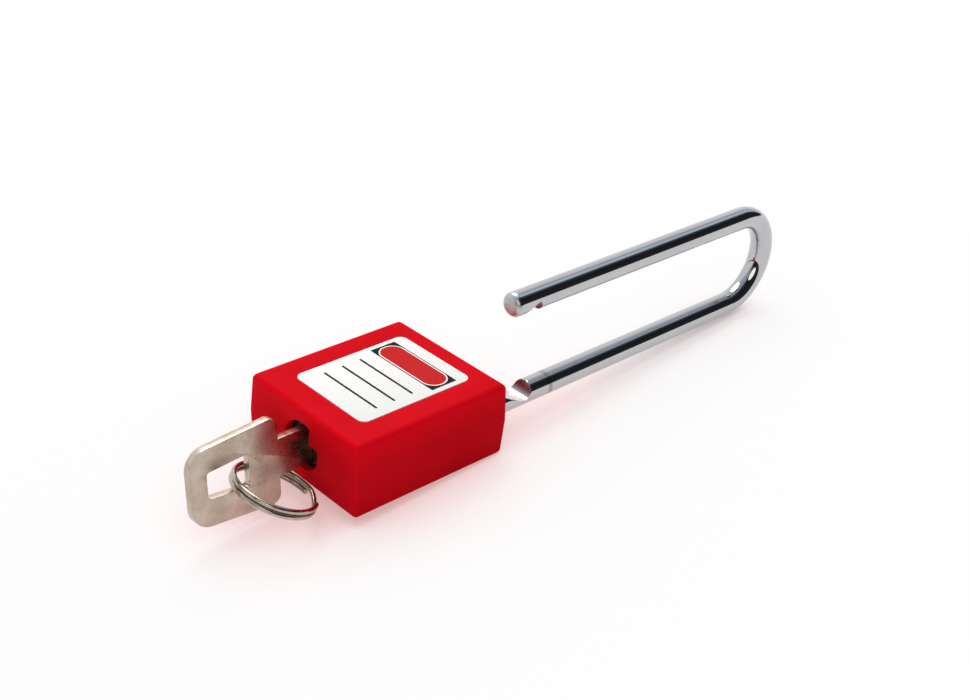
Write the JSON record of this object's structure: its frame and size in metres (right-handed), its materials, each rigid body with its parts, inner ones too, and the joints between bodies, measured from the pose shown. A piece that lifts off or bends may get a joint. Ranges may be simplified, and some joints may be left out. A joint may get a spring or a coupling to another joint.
{
  "type": "padlock",
  "caption": "Keyed padlock with a long round shackle, lifted and swung open, a plastic-jacketed body, a flat key in its cylinder and a split ring on the key.",
  "frame": {"origin": "middle of the body's flat back face", "axes": "+X across the body towards the shackle's heel leg, +Y along the legs from the key end towards the shackle's bend, +Z out of the labelled front face"},
  "size_m": [0.039, 0.1795, 0.0395],
  "materials": {
    "red_nylon": "satin moulded nylon",
    "die_cast": "as cast zinc alloy, grey",
    "brass": "machined",
    "steel": "machined",
    "spring_steel": "drawn wire and stamped strip",
    "chrome_steel": "polished chrome plate on hardened steel",
    "nickel": "nickel plate, satin",
    "ring_steel": "nickel-plated spring wire",
    "label_white": "satin film"
  },
  "bodies": {
    "body": {"outer_shell": "red_nylon", "top_cap": "red_nylon", "lock_case": "die_cast", "cylinder_shell": "brass", "cylinder_pin": "steel", "chamber_cover": "steel", "label": "label_white", "kick_spring": "spring_steel", "driver_pin_1": "brass", "driver_pin_2": "brass", "driver_pin_3": "brass", "driver_pin_4": "brass", "driver_pin_5": "brass", "driver_spring_1": "spring_steel", "driver_spring_2": "spring_steel", "driver_spring_3": "spring_steel", "driver_spring_4": "spring_steel", "driver_spring_5": "spring_steel"},
    "heel_carrier": {"heel_collar": "steel"},
    "shackle": {"shackle": "chrome_steel", "heel_clip": "spring_steel"},
    "plug": {"plug": "brass", "plug_clip": "spring_steel", "cam": "steel", "key_pin_1": "brass", "key_pin_2": "brass", "key_pin_3": "brass", "key_pin_4": "brass", "key_pin_5": "brass"},
    "key": {"key": "nickel"},
    "key_ring": {"key_ring": "ring_steel"},
    "toe_ball": {"locking_ball_toe": "steel"},
    "heel_ball": {"locking_ball_heel": "steel"}
  },
  "joints": [
    {"name": "shackle_lift", "type": "slide", "parent": "body", "child": "heel_carrier", "axis": [0, 1, 0], "range_m": [-0.021, 0], "deforming": ["kick_spring"]},
    {"name": "shackle_swivel", "type": "hinge", "parent": "heel_carrier", "child": "shackle", "pos_m": [0.01275, 0, 0.0095], "axis": [0, 1, 0], "range_deg": [-90, 270]},
    {"name": "plug_turn", "type": "hinge", "parent": "body", "child": "plug", "pos_m": [0, 0, 0.0095], "axis": [0, 1, 0], "range_deg": [-84, 6]},
    {"name": "key_withdraw", "type": "slide", "parent": "plug", "child": "key", "axis": [0, -1, 0], "range_m": [0, 0.026]},
    {"name": "ring_swing", "type": "hinge", "parent": "key", "child": "key_ring", "pos_m": [0.00042, -0.03275, 0.00549], "axis": [0.0417, 0.9171, -0.3966], "range_deg": [-30, 25]},
    {"name": "toe_ball_slide", "type": "slide", "parent": "body", "child": "toe_ball", "axis": [-1, 0, 0], "range_m": [-0.00012, 0.0016]},
    {"name": "heel_ball_slide", "type": "slide", "parent": "body", "child": "heel_ball", "axis": [1, 0, 0], "range_m": [-0.00012, 0.0016]}
  ],
  "couplings": [
    {"joint": "toe_ball_slide", "follows": "plug_turn", "m_per_rad": -0.001091},
    {"joint": "heel_ball_slide", "follows": "plug_turn", "m_per_rad": -0.001091}
  ]
}
